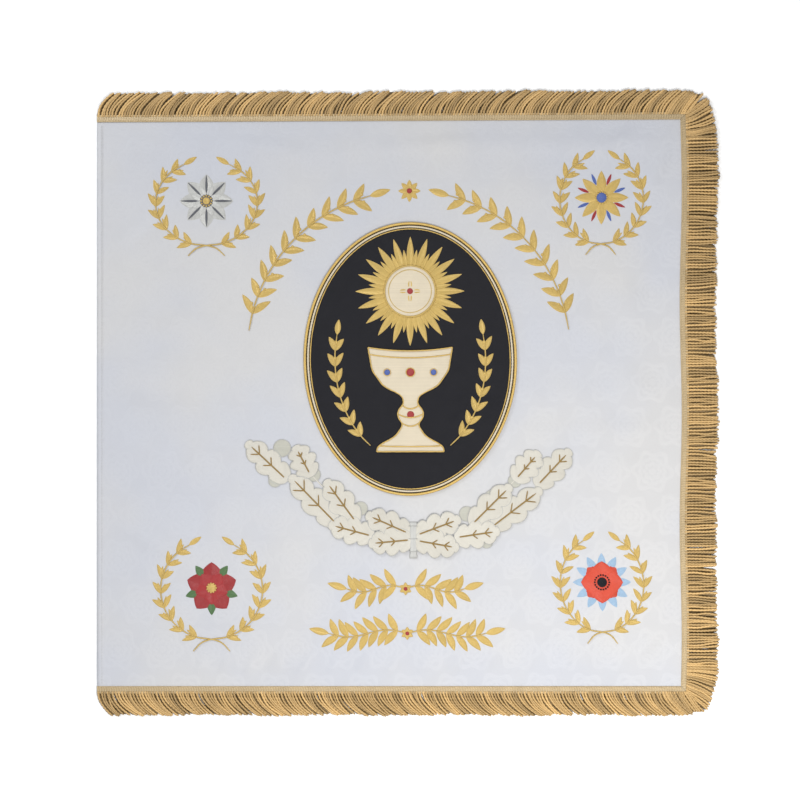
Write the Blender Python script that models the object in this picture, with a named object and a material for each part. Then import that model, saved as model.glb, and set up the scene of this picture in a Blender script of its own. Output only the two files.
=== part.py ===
"""Church banner laid out flat, face up: a square of damask with a gold fringe on three sides.

Metres, +Z up. The hoist edge, which takes the pole, is on -X and has no fringe. +Y is the top of
the banner. The origin is under the middle of the banner, on the surface that it lies on.

Every piece is drawn flat on the cut cloth, in (u, v) from its centre, and then laid out by lay(),
so that the whole banner shares the same slight wander of its edges and the same low swells.
"""

import math
import random

import bmesh
import bpy
from mathutils import Vector
from mathutils.geometry import delaunay_2d_cdt

# Cloth: two faces of damask sewn together, with a soft layer between
CLOTH_WIDTH = 1.020
CLOTH_HEIGHT = 1.000
CLOTH_THICKNESS = 0.002
CLOTH_COLUMNS = 26
CLOTH_ROWS = 26
HEM_WIDTH = 0.010  # the hoist edge is turned over and sewn down
HEM_RISE = 0.0008
HEM_SLOPE = 0.0008
GAP = 0.0003  # between pieces that touch

# How the edges wander on the surface
TOP_RISE = 0.005  # the top edge climbs this much from hoist to fly
FLY_WANDER = 0.0018
FLY_WAVES = 2.6

# Low swells where the cloth lies off the surface, away from the stiff embroidery
SWELL_COLUMNS = ("u", "v", "turn_deg", "half_length", "half_width", "height")
SWELLS = (
    (-0.410, 0.165, 6, 0.080, 0.046, 0.0030),
    (-0.415, 0.030, -8, 0.085, 0.055, 0.0034),
    (-0.405, -0.105, 9, 0.090, 0.050, 0.0032),
    (0.410, 0.165, -12, 0.048, 0.052, 0.0028),
    (0.412, 0.030, 10, 0.048, 0.055, 0.0030),
    (0.408, -0.110, -6, 0.048, 0.052, 0.0032),
)

# Fringe: a woven heading sewn over the cloth's edge, with bullion locks hanging from it
HEADING_WIDTH = 0.013
HEADING_THICKNESS = 0.0022
HEADING_PROUD = 0.001  # how far the heading stands past the cloth's edge
HEADING_BAY = 5  # locks to each straight stretch of the heading's inner edge
LOCKS_PER_SIDE = 80
LOCK_LENGTH = 0.050
LOCK_ROOT_SHARE = 0.86  # of the pitch between locks
LOCK_UNEVEN = 0.05  # share by which the locks' lengths differ
FAN_LOCKS = 4  # locks of each side that spread to fill a fly corner
# What the last lock of a fan does: shares of its length that it swings and is drawn in, and how
# much wider its tip is
FLY_FAN = (0.54, 0.36, 0.80)
LEANING_FAN = (-0.12, 0.10, 0.25)
HOIST_LOCKS = 3  # locks of a leaning side that stand straighter, at its hoist end
HOIST_EASE = 0.35
LOCK_CURL = 1.7  # how late along its length a lock swings sideways
# Sections of a lock: share of its length, height of its underside, thickness, share of root width
LOCK_COLUMNS = ("along", "underside", "thickness", "width")
LEANING_LOCK = (
    (0.36, 0.0007, 0.0026, 1.00),
    (0.70, 0.0000, 0.0025, 0.94),
    (1.00, 0.0000, 0.0016, 0.74),
)
STRAIGHT_LOCK = (
    (0.45, 0.0002, 0.0026, 1.00),
    (1.00, 0.0000, 0.0016, 0.78),
)
LEAN_REACH = 0.74  # a leaning lock reaches this share of its length straight out
LEAN_SHIFT = 0.66  # and this share sideways, towards the fly

# Embroidery
THREAD_HEIGHT = 0.0009
STEM_WIDTH = 0.0026
WREATH_LEAF = (0.025, 0.0085)  # length and width
WREATH_SPREAD_DEG = 38  # between a leaf and its stem
WREATH_STATIONS = 9  # steps up each branch from the crossing, with a pair of leaves at each
WREATH_GAP_DEG = 26  # from the top to the end of each stem
WREATH_COLUMNS = ("name", "u", "v", "half_width", "half_height")
WREATHS = (
    ("wreath_top_hoist", -0.321, 0.348, 0.088, 0.074),
    ("wreath_top_fly", 0.360, 0.351, 0.072, 0.077),
    ("wreath_bottom_hoist", -0.312, -0.321, 0.088, 0.086),
    ("wreath_bottom_fly", 0.362, -0.312, 0.072, 0.083),
)
# Where a stem ends past the crossing, and a point on the way, in half widths and heights
WREATH_TAIL = ((0.36, -1.24), (0.20, -1.07))

# Oak garland, measured from the middle of its tie: each leaf's base and the tip of its midrib
GARLAND_CENTRE = (0.0366, -0.2357)
GARLAND_COLUMNS = ("base_u", "base_v", "tip_u", "tip_v")
HOIST_LEAVES = (
    (-0.2236, 0.1088, -0.2806, 0.1623),
    (-0.1805, 0.1174, -0.1995, 0.1537),
    (-0.1373, 0.0328, -0.2064, 0.1036),
    (-0.1028, 0.0363, -0.1459, 0.0950),
    (-0.0769, 0.0086, -0.1356, 0.0242),
    (-0.0130, 0.0138, -0.0717, 0.0397),
    (-0.0095, 0.0000, -0.0665, -0.0052),
)
FLY_LEAVES = (
    (0.2185, 0.0984, 0.2634, 0.1468),
    (0.1805, 0.1088, 0.2098, 0.1433),
    (0.1408, 0.0259, 0.2133, 0.0812),
    (0.1062, 0.0311, 0.1615, 0.0864),
    (0.0803, 0.0052, 0.1390, 0.0138),
    (0.0112, 0.0104, 0.0717, 0.0328),
    (0.0112, -0.0017, 0.0682, -0.0121),
)
# The branches run along the leaves, from base to base
HOIST_BRANCHES = (
    ((-0.006, 0.004), (-0.077, 0.010), (-0.137, 0.033), (-0.224, 0.109)),
    ((-0.077, 0.010), (-0.103, 0.036), (-0.181, 0.118)),
)
FLY_BRANCHES = (
    ((0.006, 0.004), (0.080, 0.006), (0.141, 0.026), (0.219, 0.099)),
    ((0.080, 0.006), (0.106, 0.031), (0.181, 0.109)),
)
OAK_BEFORE_RIB = 0.009  # the leaf starts before its midrib
OAK_PAST_RIB = 0.011  # and runs on past it
OAK_HALF_WIDTH = 0.0245
# One side of an oak leaf: share of its length, share of its half width, out to each lobe and back
OAK_COLUMNS = ("along", "out")
OAK_LOBES = (
    (0.09, 0.46), (0.19, 0.62), (0.28, 0.42), (0.38, 0.90), (0.49, 1.00), (0.59, 0.58),
    (0.68, 0.84), (0.80, 0.86), (0.90, 0.46),
)
# Leaves that lie turned over under the others and show as a round lobe
BACK_COLUMNS = ("u", "v", "radius")
HOIST_BACKS = (
    (-0.2269, 0.1590, 0.015),
    (-0.1725, 0.1131, 0.012),
    (-0.2395, 0.1026, 0.011),
    (-0.0908, 0.0544, 0.012),
)
FLY_BACKS = (
    (0.0924, 0.0449, 0.013),
    (0.1356, 0.0742, 0.012),
    (0.1753, 0.1019, 0.012),
    (0.1269, -0.0035, 0.011),
)
BACK_POINTS = 12
TIE_SIZE = (0.015, 0.064)

# Oval medallion with a chalice and host in its glory, between two sheaves
MEDALLION_CENTRE = (0.031, 0.0768)
MEDALLION_HALF = (0.184, 0.236)
MEDALLION_POINTS = 40
CHALICE_FOOT_V = -0.160  # from the medallion's centre
# Right half of the chalice: height over its foot, half width
CHALICE_COLUMNS = ("height", "half_width")
CHALICE_PROFILE = (
    (0.000, 0.058), (0.010, 0.057), (0.026, 0.026), (0.048, 0.012), (0.058, 0.022), (0.072, 0.022),
    (0.082, 0.011), (0.098, 0.015), (0.112, 0.046), (0.140, 0.066), (0.180, 0.073),
)
HOST_V = 0.117
HOST_RADIUS = 0.044
HOST_POINTS = 20
GLORY_RADII = (0.094, 0.060)
GLORY_RAYS = 20
# A sheaf curves up along an oval within the medallion's
SHEAF_HALF = (0.130, 0.176)
SHEAF_START_DEG = 238
SHEAF_END_DEG = 166
SHEAF_STATIONS = 7
SHEAF_LEAF = (0.026, 0.0095)
SHEAF_SPREAD_DEG = 30

# Sprays of olive that arch over the medallion, and the two bands under the garland
ARCH_CENTRE = (0.029, 0.088)
ARCH_RADIUS = 0.279
ARCH_START_DEG = 8  # above the horizontal, at each foot of the arch
ARCH_END_DEG = 76
ARCH_STATIONS = 10
ARCH_LEAF = (0.036, 0.0125)
ARCH_SPREAD_DEG = 42
ARCH_STAR_RADII = (0.019, 0.008)
BAND_COLUMNS = ("name", "u", "v", "half_length", "stations")
BANDS = (
    ("band_upper", 0.0228, -0.320, 0.102, 5),
    ("band_lower", 0.0254, -0.397, 0.136, 7),
)
BAND_LEAF = (0.034, 0.012)
BAND_SPREAD_DEG = 52
BAND_WAVE = 0.006
BAND_KNOT_RADII = (0.011, 0.006)

# Small emblems within the wreaths: a rosette, a star, a bloom and a poppy
EMBLEM_COLUMNS = ("name", "u", "v", "petals", "outer", "inner", "material")
EMBLEMS = (
    ("emblem_rosette", -0.321, 0.351, 8, 0.046, 0.028, "silver_thread"),
    ("emblem_star", 0.360, 0.354, 8, 0.046, 0.016, "gold_thread"),
    ("emblem_rose", -0.312, -0.318, 5, 0.044, 0.031, "red_thread"),
    ("emblem_poppy", 0.362, -0.309, 12, 0.049, 0.038, "poppy_thread"),
)

# Colour, roughness and metallic value
MATERIALS = {
    "damask": ((0.86, 0.86, 0.89), 0.55, 0.0),
    "gold_fringe": ((0.66, 0.49, 0.24), 0.45, 0.3),
    "gold_thread": ((0.74, 0.60, 0.26), 0.40, 0.2),
    "silver_thread": ((0.80, 0.80, 0.76), 0.45, 0.1),
    "white_thread": ((0.88, 0.87, 0.82), 0.50, 0.0),
    "black_satin": ((0.045, 0.045, 0.055), 0.50, 0.0),
    "cream_thread": ((0.86, 0.81, 0.70), 0.50, 0.0),
    "red_thread": ((0.55, 0.05, 0.06), 0.50, 0.0),
    "poppy_thread": ((0.80, 0.10, 0.05), 0.50, 0.0),
}

LEFT, RIGHT = -CLOTH_WIDTH / 2, CLOTH_WIDTH / 2
BOTTOM, TOP = -CLOTH_HEIGHT / 2, CLOTH_HEIGHT / 2
FIRST_LAYER = CLOTH_THICKNESS + GAP
SECOND_LAYER = FIRST_LAYER + THREAD_HEIGHT + GAP
THIRD_LAYER = SECOND_LAYER + THREAD_HEIGHT + GAP


def clear_scene():
    for obj in list(bpy.data.objects):
        bpy.data.objects.remove(obj)


def make_material(name):
    colour, roughness, metallic = MATERIALS[name]
    material = bpy.data.materials.new(name)
    material.use_nodes = True
    shader = material.node_tree.nodes["Principled BSDF"]
    shader.inputs["Base Color"].default_value = (*colour, 1)
    shader.inputs["Roughness"].default_value = roughness
    shader.inputs["Metallic"].default_value = metallic
    return material


def swell_height(u, v):
    """Height of the underside over the surface: zero but for the swells, each a smooth mound."""
    total = 0.0
    for swell_u, swell_v, turn_deg, half_length, half_width, height in SWELLS:
        turn = math.radians(turn_deg)
        du, dv = u - swell_u, v - swell_v
        along = (du * math.cos(turn) + dv * math.sin(turn)) / half_length
        across = (dv * math.cos(turn) - du * math.sin(turn)) / half_width
        reach = math.hypot(along, across)
        if reach < 1:
            total += height * math.cos(reach * math.pi / 2) ** 2
    return total


def lay(u, v, height):
    """Where a point of the flat cut lies once the banner is laid out."""
    across = (u - LEFT) / CLOTH_WIDTH
    up = (v - BOTTOM) / CLOTH_HEIGHT
    x = u + FLY_WANDER * across**2 * math.sin(FLY_WAVES * math.tau * up)
    y = v + TOP_RISE * up * (across - 0.5)
    return Vector((x, y, height + swell_height(u, v)))


def lay_out(bm):
    for vertex in bm.verts:
        vertex.co = lay(*vertex.co)


def finish_piece(bm, name, material, collection):
    """Turns a laid-out bmesh into one named object."""
    bmesh.ops.recalc_face_normals(bm, faces=bm.faces)
    mesh = bpy.data.meshes.new(name)
    bm.to_mesh(mesh)
    bm.free()
    mesh.materials.append(material)
    obj = bpy.data.objects.new(name, mesh)
    collection.objects.link(obj)
    return obj


def cloth(material, collection):
    """The square of damask, flat on the surface but for its swells."""
    bm = bmesh.new()
    bmesh.ops.create_grid(bm, x_segments=CLOTH_COLUMNS, y_segments=CLOTH_ROWS, size=0.5)
    bmesh.ops.scale(bm, vec=(CLOTH_WIDTH, CLOTH_HEIGHT, 1), verts=bm.verts)
    hem_edge = LEFT + HEM_WIDTH
    hem_end = TOP + HEADING_PROUD - HEADING_WIDTH - GAP
    for place, normal in (
        ((hem_edge, 0, 0), (1, 0, 0)),
        ((hem_edge + HEM_SLOPE, 0, 0), (1, 0, 0)),
        ((0, hem_end, 0), (0, 1, 0)),
        ((0, hem_end - HEM_SLOPE, 0), (0, 1, 0)),
        ((0, -hem_end, 0), (0, 1, 0)),
        ((0, HEM_SLOPE - hem_end, 0), (0, 1, 0)),
    ):
        everything = bm.verts[:] + bm.edges[:] + bm.faces[:]
        bmesh.ops.bisect_plane(bm, geom=everything, plane_co=place, plane_no=normal)
    thicken(bm, CLOTH_THICKNESS)
    for vertex in bm.verts:
        on_hem = vertex.co.x < hem_edge + GAP and abs(vertex.co.y) < hem_end - HEM_SLOPE / 2
        if on_hem and vertex.co.z > 0:
            vertex.co.z += HEM_RISE
    lay_out(bm)
    return finish_piece(bm, "cloth", material, collection)


def thicken(bm, thickness):
    """Closes a flat, open bmesh into a plate that stands up by its thickness."""
    raised = bmesh.ops.extrude_face_region(bm, geom=bm.faces[:], use_keep_orig=True)
    for item in raised["geom"]:
        if isinstance(item, bmesh.types.BMVert):
            item.co.z += thickness


def plate(outlines, height, thickness):
    """One flat plate with the joint outline of all the closed outlines, as a bmesh."""
    points, faces = [], []
    for outline in outlines:
        faces.append(range(len(points), len(points) + len(outline)))
        points += [Vector(point) for point in outline]
    found = delaunay_2d_cdt(points, [], [list(face) for face in faces], 1, 1e-7)
    bm = bmesh.new()
    verts = [bm.verts.new((*point, height)) for point in found[0]]
    for face, source_outlines in zip(found[2], found[5]):
        if source_outlines:
            bm.faces.new([verts[i] for i in face])
    bmesh.ops.dissolve_limit(
        bm, angle_limit=math.radians(1), verts=bm.verts[:], edges=bm.edges[:]
    )
    thicken(bm, thickness)
    return bm


def leaf(base, angle, size):
    """A pointed leaf from its base, as an outline."""
    length, width = size
    shape = ((0, -0.10), (0.45, -0.5), (1, 0), (0.45, 0.5), (0, 0.10))
    return placed([(along * length, out * width) for along, out in shape], base, angle)


def placed(outline, base, angle=0.0):
    """An outline turned by an angle about its own origin and moved to its base."""
    cosine, sine = math.cos(angle), math.sin(angle)
    return [
        (base[0] + x * cosine - y * sine, base[1] + x * sine + y * cosine) for x, y in outline
    ]


def mirrored(outline, middle):
    """An outline mirrored from left to right about u = middle, still turning the same way."""
    return [(2 * middle - u, v) for u, v in reversed(outline)]


def stem(points, width):
    """A strip of even width along a line of points, as an outline."""
    sides = ([], [])
    for i, point in enumerate(points):
        ahead = Vector(points[min(i + 1, len(points) - 1)]) - Vector(points[max(i - 1, 0)])
        normal = Vector((-ahead.y, ahead.x)).normalized() * width / 2
        sides[0].append(tuple(Vector(point) - normal))
        sides[1].append(tuple(Vector(point) + normal))
    return sides[0] + sides[1][::-1]


def ellipse(centre, half_width, half_height, count):
    turns = [math.tau * i / count for i in range(count)]
    return [
        (centre[0] + half_width * math.cos(t), centre[1] + half_height * math.sin(t))
        for t in turns
    ]


def star(centre, outer, inner, points):
    """A star or, with a wide inner radius, a ring of petals."""
    outline = []
    for i in range(2 * points):
        radius = inner if i % 2 else outer
        turn = math.pi / 2 + math.pi * i / points
        outline.append((centre[0] + radius * math.cos(turn), centre[1] + radius * math.sin(turn)))
    return outline


def spray(line, leaf_size, spread_deg, first_pair=1):
    """A stem, with a pair of leaves at each inner point from the first pair's, and one at its end."""
    outlines = [stem(line, STEM_WIDTH)]
    for here, ahead in zip(line[first_pair:-1], line[first_pair + 1:]):
        here, ahead = Vector(here), Vector(ahead)
        course = math.atan2(ahead.y - here.y, ahead.x - here.x)
        for side in (-1, 1):
            outlines.append(leaf(here, course + side * math.radians(spread_deg), leaf_size))
    end, before = Vector(line[-1]), Vector(line[-2])
    outlines.append(leaf(end, math.atan2(end.y - before.y, end.x - before.x), leaf_size))
    return outlines


def wreath_branch(u, v, half_width, half_height):
    """The left branch of a laurel wreath, from its tail, over the crossing and up the side."""
    steps = WREATH_STATIONS
    line = [(u + across * half_width, v + up * half_height) for across, up in WREATH_TAIL]
    for i in range(steps + 1):
        turn = math.radians(270 - (180 - WREATH_GAP_DEG) * i / steps)
        line.append((u + half_width * math.cos(turn), v + half_height * math.sin(turn)))
    return line


def wreaths(material, collection):
    for name, u, v, half_width, half_height in WREATHS:
        line = wreath_branch(u, v, half_width, half_height)
        branch = spray(line, WREATH_LEAF, WREATH_SPREAD_DEG, first_pair=len(WREATH_TAIL) + 1)
        outlines = branch + [mirrored(outline, u) for outline in branch]
        bm = plate(outlines, FIRST_LAYER, THREAD_HEIGHT)
        lay_out(bm)
        finish_piece(bm, name, material, collection)


def oak_leaf(base, tip):
    """A lobed oak leaf from base to tip, as an outline."""
    run = Vector(tip) - Vector(base)
    length = OAK_BEFORE_RIB + run.length + OAK_PAST_RIB
    shape = [(0, 0), *OAK_LOBES, (1, 0), *((along, -out) for along, out in reversed(OAK_LOBES))]
    outline = [(along * length - OAK_BEFORE_RIB, -out * OAK_HALF_WIDTH) for along, out in shape]
    return placed(outline, base, math.atan2(run.y, run.x))


def garland(leaf_material, tie_material, collection):
    """Two sprays of oak leaves, each overlapping the next, and the band that ties them."""
    sprays = (
        ("oak_spray_hoist", HOIST_LEAVES, HOIST_BRANCHES, HOIST_BACKS),
        ("oak_spray_fly", FLY_LEAVES, FLY_BRANCHES, FLY_BACKS),
    )
    for name, leaves, branches, backs in sprays:
        outlines = [oak_leaf((a, b), (c, d)) for a, b, c, d in leaves]
        outlines += [stem(branch, 2 * STEM_WIDTH) for branch in branches]
        outlines += [ellipse((u, v), radius, radius, BACK_POINTS) for u, v, radius in backs]
        outlines = [placed(outline, GARLAND_CENTRE) for outline in outlines]
        bm = plate(outlines, FIRST_LAYER, THREAD_HEIGHT)
        lay_out(bm)
        finish_piece(bm, name, leaf_material, collection)

    u, v = GARLAND_CENTRE
    width, height = TIE_SIZE
    tie = stem([(u, v - height / 2), (u, v + height / 2)], width)
    bm = plate([tie], SECOND_LAYER, THREAD_HEIGHT)
    lay_out(bm)
    finish_piece(bm, "garland_tie", tie_material, collection)


def medallion(materials, collection):
    """The oval ground, the glory of rays, the host on it and the chalice below."""
    u, v = MEDALLION_CENTRE
    host = (u, v + HOST_V)
    right_side = [(half_width, height) for height, half_width in CHALICE_PROFILE]
    left_side = [(-x, y) for x, y in reversed(right_side)]
    ground = ellipse((u, v), *MEDALLION_HALF, MEDALLION_POINTS)
    rays = star(host, *GLORY_RADII, GLORY_RAYS)
    disc = ellipse(host, HOST_RADIUS, HOST_RADIUS, HOST_POINTS)
    cup = placed(right_side + left_side, (u, v + CHALICE_FOOT_V))
    layers = (
        ("medallion_ground", ground, FIRST_LAYER, "black_satin"),
        ("glory_rays", rays, SECOND_LAYER, "gold_thread"),
        ("host_disc", disc, THIRD_LAYER, "cream_thread"),
        ("chalice", cup, SECOND_LAYER, "cream_thread"),
    )
    for name, outline, height, material in layers:
        bm = plate([outline], height, THREAD_HEIGHT)
        lay_out(bm)
        finish_piece(bm, name, materials[material], collection)


def sheaves(material, collection):
    """Two leafy sheaves, one up each side of the chalice."""
    u, v = MEDALLION_CENTRE
    half_width, half_height = SHEAF_HALF
    steps = SHEAF_STATIONS + 1
    line = []
    for i in range(steps + 1):
        turn = math.radians(SHEAF_START_DEG + (SHEAF_END_DEG - SHEAF_START_DEG) * i / steps)
        line.append((u + half_width * math.cos(turn), v + half_height * math.sin(turn)))
    left = spray(line, SHEAF_LEAF, SHEAF_SPREAD_DEG)
    right = [mirrored(outline, u) for outline in left]
    for name, outlines in (("sheaf_hoist", left), ("sheaf_fly", right)):
        bm = plate(outlines, SECOND_LAYER, THREAD_HEIGHT)
        lay_out(bm)
        finish_piece(bm, name, material, collection)


def arch(material, collection):
    """Two olive sprays that rise to a star over the medallion."""
    u, v = ARCH_CENTRE
    steps = ARCH_STATIONS + 1
    line = []
    for i in range(steps + 1):
        turn = math.radians(180 - ARCH_START_DEG - (ARCH_END_DEG - ARCH_START_DEG) * i / steps)
        line.append((u + ARCH_RADIUS * math.cos(turn), v + ARCH_RADIUS * math.sin(turn)))
    left = spray(line, ARCH_LEAF, ARCH_SPREAD_DEG)
    right = [mirrored(outline, u) for outline in left]
    top_star = [star((u, v + ARCH_RADIUS), *ARCH_STAR_RADII, 8)]
    for name, outlines in (("arch_left", left), ("arch_right", right), ("arch_star", top_star)):
        bm = plate(outlines, FIRST_LAYER, THREAD_HEIGHT)
        lay_out(bm)
        finish_piece(bm, name, material, collection)


def bands(material, collection):
    """Two level bands of leaves, each grown both ways from its middle."""
    for name, u, v, half_length, stations in BANDS:
        steps = stations + 1
        line = []
        for i in range(steps + 1):
            share = i / steps
            wave = BAND_WAVE * math.sin(share * math.tau)
            line.append((u + share * half_length, v + wave))
        half = spray(line, BAND_LEAF, BAND_SPREAD_DEG)
        knot = star((u, v), *BAND_KNOT_RADII, 6)
        outlines = [knot, *half, *(mirrored(outline, u) for outline in half)]
        bm = plate(outlines, FIRST_LAYER, THREAD_HEIGHT)
        lay_out(bm)
        finish_piece(bm, name, material, collection)


def emblems(materials, collection):
    for name, u, v, petals, outer, inner, material in EMBLEMS:
        bm = plate([star((u, v), outer, inner, petals)], FIRST_LAYER, THREAD_HEIGHT)
        lay_out(bm)
        finish_piece(bm, name, materials[material], collection)


def heading_outline(length, mitred_start, mitred_end):
    """The heading in (along, out) from the cloth's edge: its outer edge has two points a lock."""
    inner = HEADING_PROUD - HEADING_WIDTH
    pitch = length / LOCKS_PER_SIDE
    half_root = pitch * LOCK_ROOT_SHARE / 2
    first = -HEADING_PROUD + GAP if mitred_start else 0.0
    last = length + HEADING_PROUD - GAP if mitred_end else length
    inner_first = first + HEADING_WIDTH if mitred_start else first
    inner_last = last - HEADING_WIDTH if mitred_end else last
    outline = [(first, HEADING_PROUD)]
    for i in range(LOCKS_PER_SIDE):
        middle = (i + 0.5) * pitch
        outline += [(middle - half_root, HEADING_PROUD), (middle + half_root, HEADING_PROUD)]
    outline.append((last, HEADING_PROUD))
    bays = LOCKS_PER_SIDE // HEADING_BAY
    for i in range(bays + 1):
        share = 1 - i / bays
        outline.append((inner_first + (inner_last - inner_first) * share, inner))
    return outline[::-1]


def lock_path(share, reach, shift, curl):
    """(sideways, outward) at a share of a lock's length: it sets out square to the edge."""
    return shift * share**curl, reach * (share - 0.12 * share**2) / 0.88


def lock_manners(i, leaning, random_source):
    """Reach out, shift sideways and curl of one lock, and how much wider its tip is."""
    slow = math.sin(i * 0.37) + 0.6 * math.sin(i * 0.91 + 1.3)
    length = LOCK_LENGTH * (1 + LOCK_UNEVEN * (0.45 * slow + random_source.uniform(-0.5, 0.5)))
    last = LOCKS_PER_SIDE - 1
    from_end = last - i if leaning else min(i, last - i)
    spread = max(0, FAN_LOCKS - from_end) / FAN_LOCKS
    curl = 1 + (LOCK_CURL - 1) * (1 - spread)
    if leaning:
        swing, draw_in, widen = LEANING_FAN
        straight = HOIST_EASE * max(0, 1 - i / HOIST_LOCKS)
        shift = (LEAN_SHIFT * (1 + 0.07 * slow) + swing * spread) * (1 - straight)
        reach = LEAN_REACH - draw_in * spread
        return length * reach, length * shift, curl + straight, widen * spread
    swing, draw_in, widen = FLY_FAN
    towards_corner = 1 if i > last / 2 else -1
    reach = 1 - draw_in * spread**2
    return length * reach, length * swing * spread * towards_corner, curl, widen * spread


def fringe(name, length, to_cloth, leaning, mitred_start, mitred_end, seed, material, collection):
    """A heading with its row of locks, built along its own edge and put in place by to_cloth."""
    random_source = random.Random(seed)
    bm = plate([heading_outline(length, mitred_start, mitred_end)], FIRST_LAYER, HEADING_THICKNESS)
    pitch = length / LOCKS_PER_SIDE
    roots = {}
    for face in bm.faces:
        middle = face.calc_center_median()
        at = middle.x / pitch - 0.5
        on_outer_edge = abs(middle.y - HEADING_PROUD) < GAP and len(face.verts) == 4
        if on_outer_edge and abs(at - round(at)) < 0.1:
            roots[round(at)] = face
    sections = LEANING_LOCK if leaning else STRAIGHT_LOCK
    for i, face in sorted(roots.items()):
        reach, shift, curl, widen = lock_manners(i, leaning, random_source)
        centre = (i + 0.5) * pitch
        half_root = pitch * LOCK_ROOT_SHARE / 2
        for along, underside, thickness, width in sections:
            face = bmesh.ops.extrude_discrete_faces(bm, faces=[face])["faces"][0]
            sideways, outward = lock_path(along, reach, shift, curl)
            low = min(vertex.co.z for vertex in face.verts)
            middle = sum(vertex.co.x for vertex in face.verts) / 4
            for vertex in face.verts:
                is_low = vertex.co.z < low + GAP
                side = 1 if vertex.co.x > middle else -1
                edge = side * half_root * width * (1 + widen * along)
                z = underside if is_low else underside + thickness
                vertex.co = (centre + sideways + edge, HEADING_PROUD + outward, z)
    for vertex in bm.verts:
        u, v = to_cloth(vertex.co.x, vertex.co.y)
        vertex.co = lay_flat(u, v, vertex.co.z)
    finish_piece(bm, name, material, collection)


def lay_flat(u, v, height):
    """As lay(), for the fringe, which no swell lifts."""
    place = lay(u, v, height)
    place.z = height
    return place


def fringes(material, collection):
    sides = (
        ("fringe_top", CLOTH_WIDTH, lambda s, d: (LEFT + s, TOP + d), True, False, True, 3),
        ("fringe_bottom", CLOTH_WIDTH, lambda s, d: (LEFT + s, BOTTOM - d), True, False, True, 5),
        ("fringe_fly", CLOTH_HEIGHT, lambda s, d: (RIGHT + d, BOTTOM + s), False, True, True, 8),
    )
    for side in sides:
        fringe(*side, material, collection)


def centre_on_origin(collection):
    """Moves the whole banner so that the middle of its plan is over the origin."""
    corners = [v.co for obj in collection.objects for v in obj.data.vertices]
    middle_x = (min(c.x for c in corners) + max(c.x for c in corners)) / 2
    middle_y = (min(c.y for c in corners) + max(c.y for c in corners)) / 2
    root = bpy.data.objects.new("church_banner", None)
    root.location = (-middle_x, -middle_y, 0)
    for obj in list(collection.objects):
        obj.parent = root
    collection.objects.link(root)


def main():
    clear_scene()
    collection = bpy.data.collections.new("church_banner")
    bpy.context.scene.collection.children.link(collection)
    materials = {name: make_material(name) for name in MATERIALS}
    cloth(materials["damask"], collection)
    fringes(materials["gold_fringe"], collection)
    medallion(materials, collection)
    sheaves(materials["gold_thread"], collection)
    garland(materials["white_thread"], materials["silver_thread"], collection)
    wreaths(materials["gold_thread"], collection)
    emblems(materials, collection)
    arch(materials["gold_thread"], collection)
    bands(materials["gold_thread"], collection)
    centre_on_origin(collection)


main()
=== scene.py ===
"""Looks of the church banner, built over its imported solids.

Every stitched piece is drawn on the flat cut cloth, in (u, v) from its centre with a height over
the cloth, and is then laid out with the cloth, as the solids are.
"""

import math

import bpy
import numpy as np
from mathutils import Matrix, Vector


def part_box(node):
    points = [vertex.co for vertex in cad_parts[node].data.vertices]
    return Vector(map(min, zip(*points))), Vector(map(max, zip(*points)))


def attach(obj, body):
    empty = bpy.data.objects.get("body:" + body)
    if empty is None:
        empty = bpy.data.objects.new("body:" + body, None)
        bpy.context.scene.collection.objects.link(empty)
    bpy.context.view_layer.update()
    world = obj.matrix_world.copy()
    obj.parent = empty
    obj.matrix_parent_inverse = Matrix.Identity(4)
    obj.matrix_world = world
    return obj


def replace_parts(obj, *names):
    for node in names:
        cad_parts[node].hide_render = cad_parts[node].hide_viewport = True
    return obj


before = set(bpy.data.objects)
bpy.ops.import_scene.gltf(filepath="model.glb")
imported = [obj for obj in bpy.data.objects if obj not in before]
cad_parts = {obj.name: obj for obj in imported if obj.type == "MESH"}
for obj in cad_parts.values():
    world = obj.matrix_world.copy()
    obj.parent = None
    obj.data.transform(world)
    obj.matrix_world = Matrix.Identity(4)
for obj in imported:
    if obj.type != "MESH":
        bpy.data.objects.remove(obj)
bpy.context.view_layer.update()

# The photograph's scale, and the cut cloth's centre in it
METRES_PER_PIXEL = 0.001727
CENTRE_PIXEL = (392.3, 403.5)
IMAGE_SIDE = 800
LENS = 100
SENSOR = 36

# Cloth, as in the solids
CLOTH_WIDTH = 1.02
CLOTH_HEIGHT = 1.0
CLOTH_THICKNESS = 0.002
HEM_WIDTH = 0.01
HEM_RISE = 0.0008
TOP_RISE = 0.005
FLY_WANDER = 0.0018
FLY_WAVES = 2.6
LEFT, RIGHT = -CLOTH_WIDTH / 2, CLOTH_WIDTH / 2
BOTTOM, TOP = -CLOTH_HEIGHT / 2, CLOTH_HEIGHT / 2
SHIFT = (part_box("cloth")[0].x - LEFT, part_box("cloth")[0].y - BOTTOM)
CLOTH_STEP = 0.0058  # between the points of the cloth's mesh

# Low swells: u, v, turn in degrees, half length, half width, height
SWELLS = (
    (-0.41, 0.165, 6, 0.08, 0.046, 0.003),
    (-0.415, 0.03, -8, 0.085, 0.055, 0.0034),
    (-0.405, -0.105, 9, 0.09, 0.05, 0.0032),
    (0.41, 0.165, -12, 0.048, 0.052, 0.0028),
    (0.412, 0.03, 10, 0.048, 0.055, 0.003),
    (0.408, -0.11, -6, 0.048, 0.052, 0.0032),
)
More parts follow.
